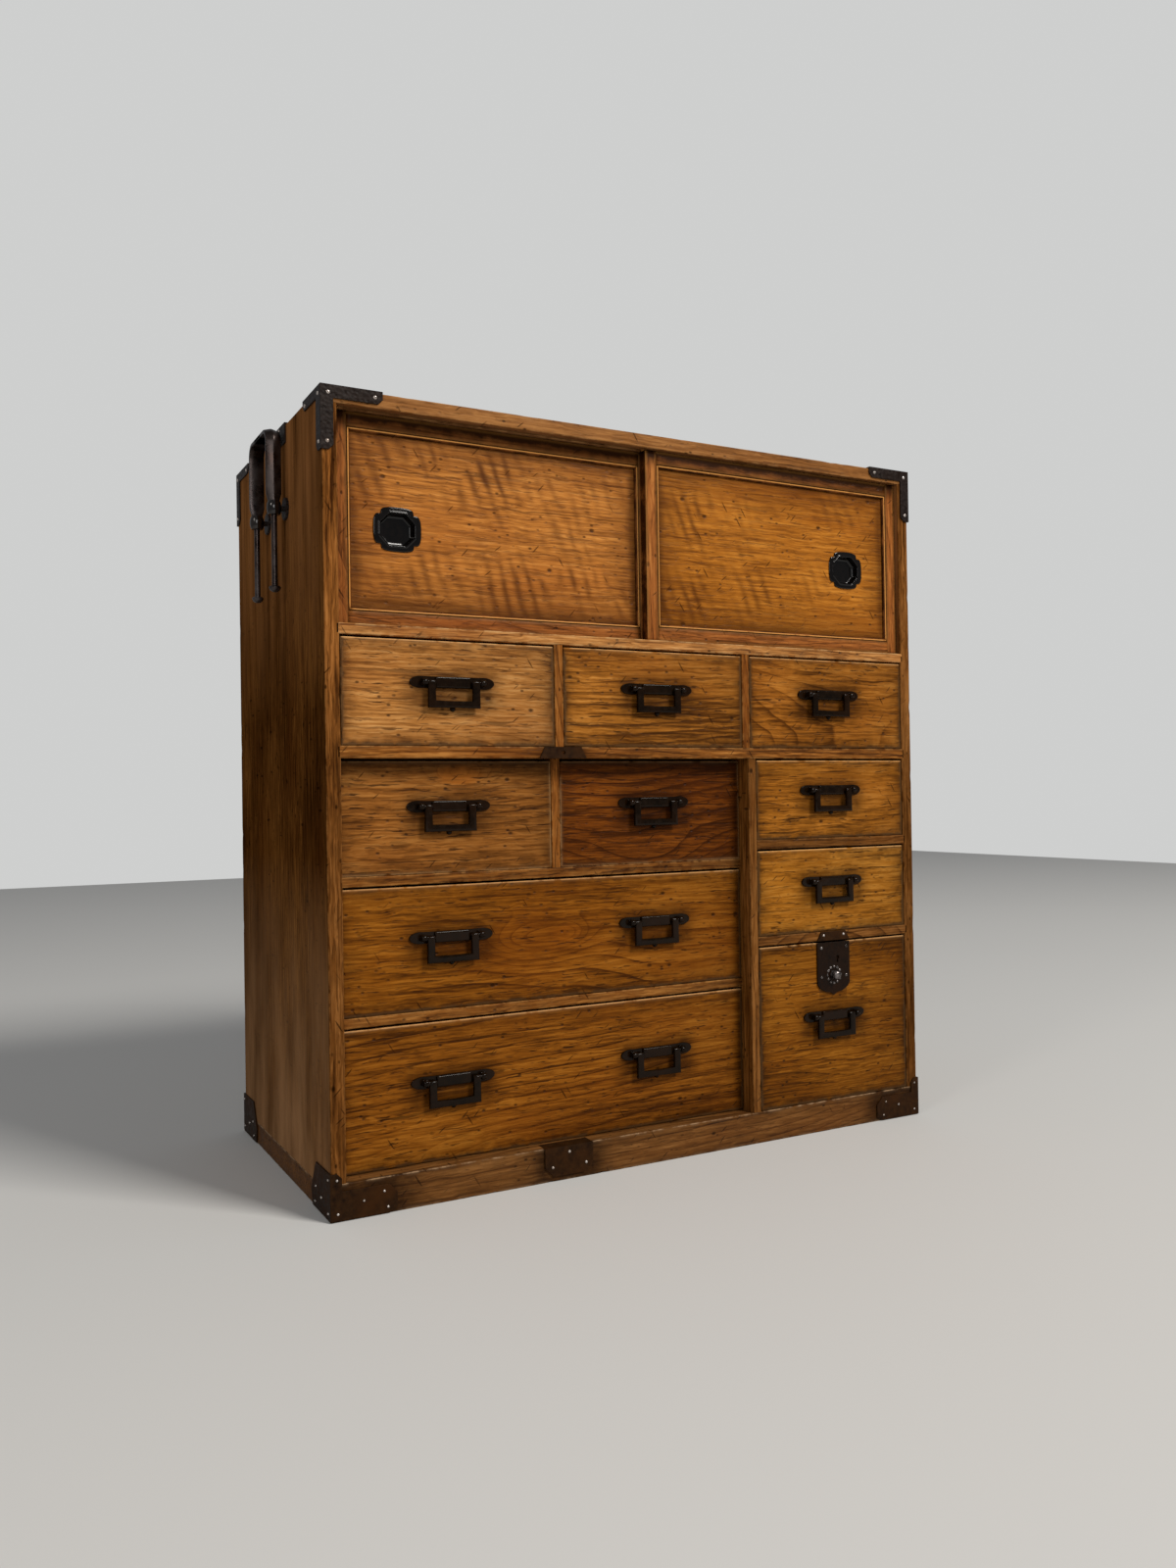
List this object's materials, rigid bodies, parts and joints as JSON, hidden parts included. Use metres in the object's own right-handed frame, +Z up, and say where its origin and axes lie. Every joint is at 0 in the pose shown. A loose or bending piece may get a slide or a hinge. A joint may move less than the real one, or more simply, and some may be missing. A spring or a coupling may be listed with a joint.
{
  "type": "small drawer chest",
  "caption": "Tabletop wooden chest with a low base frame, two sliding panel doors over drawers with drop handles, iron corners, a push lock and lift-up carrying loops.",
  "frame": {"origin": "on the floor, under the middle of the whole object's bounding box", "axes": "+Z up, the drawer fronts face -Y, +X to the right seen from the front"},
  "size_m": [0.637, 0.3079, 0.651],
  "materials": {
    "side_wood": "oiled, worn",
    "dark_rail": "oiled, dark red-brown",
    "oiled_wood": "oiled",
    "drawer_wood": "oiled, open pores",
    "door_wood": "oiled, curly figure",
    "pale_wood": "unfinished softwood",
    "black_iron": "lacquered wrought iron, dull",
    "black_lacquer": "gloss black lacquer on iron",
    "brass_button": "dark iron, polished by use"
  },
  "bodies": {
    "case": {"back_boards": "pale_wood", "base_corner_irons": "black_iron", "base_frame": "dark_rail", "carry_handle_fittings": "black_iron", "column_partition": "oiled_wood", "door_sill": "oiled_wood", "floor_board": "pale_wood", "front_plates": "black_iron", "left_shelves": "oiled_wood", "right_shelves": "oiled_wood", "row_shelf": "oiled_wood", "side_board_left": "side_wood", "side_board_right": "side_wood", "small_dividers": "oiled_wood", "top_board": "side_wood", "top_corner_irons": "black_iron"},
    "door_left": {"door_left_frame": "door_wood", "door_left_panel": "door_wood", "door_left_pull": "black_lacquer"},
    "door_right": {"door_right_frame": "door_wood", "door_right_panel": "door_wood", "door_right_pull": "black_lacquer"},
    "drawer_top_left": {"drawer_top_left": "drawer_wood", "mounts_top_left": "black_iron"},
    "drawer_top_middle": {"drawer_top_middle": "drawer_wood", "mounts_top_middle": "black_iron"},
    "drawer_top_right": {"drawer_top_right": "drawer_wood", "mounts_top_right": "black_iron"},
    "drawer_bank_left": {"drawer_bank_left": "drawer_wood", "mounts_bank_left": "black_iron"},
    "drawer_bank_right": {"drawer_bank_right": "drawer_wood", "mounts_bank_right": "black_iron"},
    "drawer_wide_upper": {"drawer_wide_upper": "drawer_wood", "mounts_wide_upper": "black_iron"},
    "drawer_wide_lower": {"drawer_wide_lower": "drawer_wood", "mounts_wide_lower": "black_iron"},
    "drawer_column_upper": {"drawer_column_upper": "drawer_wood", "mounts_column_upper": "black_iron"},
    "drawer_column_middle": {"drawer_column_middle": "drawer_wood", "mounts_column_middle": "black_iron"},
    "drawer_lock": {"drawer_lock": "drawer_wood", "mounts_lock": "black_iron", "lock_plate": "black_iron"},
    "bail_top_left": {"bail_top_left": "black_iron"},
    "bail_top_middle": {"bail_top_middle": "black_iron"},
    "bail_top_right": {"bail_top_right": "black_iron"},
    "bail_bank_left": {"bail_bank_left": "black_iron"},
    "bail_bank_right": {"bail_bank_right": "black_iron"},
    "bail_wide_upper_left": {"bail_wide_upper_left": "black_iron"},
    "bail_wide_upper_right": {"bail_wide_upper_right": "black_iron"},
    "bail_wide_lower_left": {"bail_wide_lower_left": "black_iron"},
    "bail_wide_lower_right": {"bail_wide_lower_right": "black_iron"},
    "bail_column_upper": {"bail_column_upper": "black_iron"},
    "bail_column_middle": {"bail_column_middle": "black_iron"},
    "bail_lock": {"bail_lock": "black_iron"},
    "carry_handle_left": {"carry_handle_left": "black_iron"},
    "carry_handle_right": {"carry_handle_right": "black_iron"},
    "lock_bolt": {"lock_bolt": "black_iron"},
    "lock_button": {"lock_button": "brass_button"}
  },
  "joints": [
    {"name": "door_left_slide", "type": "slide", "parent": "case", "child": "door_left", "axis": [1, 0, 0], "range_m": [0, 0.284]},
    {"name": "door_right_slide", "type": "slide", "parent": "case", "child": "door_right", "axis": [-1, 0, 0], "range_m": [0, 0.284]},
    {"name": "drawer_top_left_slide", "type": "slide", "parent": "case", "child": "drawer_top_left", "axis": [0, -1, 0], "range_m": [0, 0.22]},
    {"name": "drawer_top_middle_slide", "type": "slide", "parent": "case", "child": "drawer_top_middle", "axis": [0, -1, 0], "range_m": [0, 0.22]},
    {"name": "drawer_top_right_slide", "type": "slide", "parent": "case", "child": "drawer_top_right", "axis": [0, -1, 0], "range_m": [0, 0.22]},
    {"name": "drawer_bank_left_slide", "type": "slide", "parent": "case", "child": "drawer_bank_left", "axis": [0, -1, 0], "range_m": [0, 0.22]},
    {"name": "drawer_bank_right_slide", "type": "slide", "parent": "case", "child": "drawer_bank_right", "axis": [0, -1, 0], "range_m": [0, 0.22]},
    {"name": "drawer_wide_upper_slide", "type": "slide", "parent": "case", "child": "drawer_wide_upper", "axis": [0, -1, 0], "range_m": [0, 0.22]},
    {"name": "drawer_wide_lower_slide", "type": "slide", "parent": "case", "child": "drawer_wide_lower", "axis": [0, -1, 0], "range_m": [0, 0.22]},
    {"name": "drawer_column_upper_slide", "type": "slide", "parent": "case", "child": "drawer_column_upper", "axis": [0, -1, 0], "range_m": [0, 0.22]},
    {"name": "drawer_column_middle_slide", "type": "slide", "parent": "case", "child": "drawer_column_middle", "axis": [0, -1, 0], "range_m": [0, 0.22]},
    {"name": "drawer_lock_slide", "type": "slide", "parent": "case", "child": "drawer_lock", "axis": [0, -1, 0], "range_m": [0, 0.22]},
    {"name": "bail_top_left_swing", "type": "hinge", "parent": "drawer_top_left", "child": "bail_top_left", "pos_m": [-0.19573, -0.14925, 0.42115], "axis": [-1, 0, 0], "range_deg": [0, 180]},
    {"name": "bail_top_middle_swing", "type": "hinge", "parent": "drawer_top_middle", "child": "bail_top_middle", "pos_m": [0, -0.14925, 0.42115], "axis": [-1, 0, 0], "range_deg": [0, 180]},
    {"name": "bail_top_right_swing", "type": "hinge", "parent": "drawer_top_right", "child": "bail_top_right", "pos_m": [0.19573, -0.14925, 0.42115], "axis": [-1, 0, 0], "range_deg": [0, 180]},
    {"name": "bail_bank_left_swing", "type": "hinge", "parent": "drawer_bank_left", "child": "bail_bank_left", "pos_m": [-0.19432, -0.13425, 0.32045], "axis": [-1, 0, 0], "range_deg": [0, 180]},
    {"name": "bail_bank_right_swing", "type": "hinge", "parent": "drawer_bank_right", "child": "bail_bank_right", "pos_m": [0.00422, -0.13425, 0.32045], "axis": [-1, 0, 0], "range_deg": [0, 180]},
    {"name": "bail_wide_upper_left_swing", "type": "hinge", "parent": "drawer_wide_upper", "child": "bail_wide_upper_left", "pos_m": [-0.19355, -0.13425, 0.21305], "axis": [-1, 0, 0], "range_deg": [0, 180]},
    {"name": "bail_wide_upper_right_swing", "type": "hinge", "parent": "drawer_wide_upper", "child": "bail_wide_upper_right", "pos_m": [0.00345, -0.13425, 0.21305], "axis": [-1, 0, 0], "range_deg": [0, 180]},
    {"name": "bail_wide_lower_left_swing", "type": "hinge", "parent": "drawer_wide_lower", "child": "bail_wide_lower_left", "pos_m": [-0.19355, -0.13425, 0.0949], "axis": [-1, 0, 0], "range_deg": [0, 180]},
    {"name": "bail_wide_lower_right_swing", "type": "hinge", "parent": "drawer_wide_lower", "child": "bail_wide_lower_right", "pos_m": [0.00345, -0.13425, 0.0949], "axis": [-1, 0, 0], "range_deg": [0, 180]},
    {"name": "bail_column_upper_swing", "type": "hinge", "parent": "drawer_column_upper", "child": "bail_column_upper", "pos_m": [0.19665, -0.14925, 0.3292], "axis": [-1, 0, 0], "range_deg": [0, 180]},
    {"name": "bail_column_middle_swing", "type": "hinge", "parent": "drawer_column_middle", "child": "bail_column_middle", "pos_m": [0.19665, -0.14925, 0.2411], "axis": [-1, 0, 0], "range_deg": [0, 180]},
    {"name": "bail_lock_swing", "type": "hinge", "parent": "drawer_lock", "child": "bail_lock", "pos_m": [0.19665, -0.14925, 0.1113], "axis": [-1, 0, 0], "range_deg": [0, 180]},
    {"name": "carry_handle_left_lift", "type": "slide", "parent": "case", "child": "carry_handle_left", "axis": [0, 0, 1], "range_m": [0, 0.06]},
    {"name": "carry_handle_right_lift", "type": "slide", "parent": "case", "child": "carry_handle_right", "axis": [0, 0, 1], "range_m": [0, 0.06]},
    {"name": "lock_bolt_rise", "type": "slide", "parent": "drawer_lock", "child": "lock_bolt", "axis": [0, 0, 1], "range_m": [0, 0.006]},
    {"name": "lock_button_press", "type": "slide", "parent": "drawer_lock", "child": "lock_button", "axis": [0, 1, 0], "range_m": [0, 0.002], "stiffness_N_per_m": 600, "springref_m": -0.002}
  ]
}
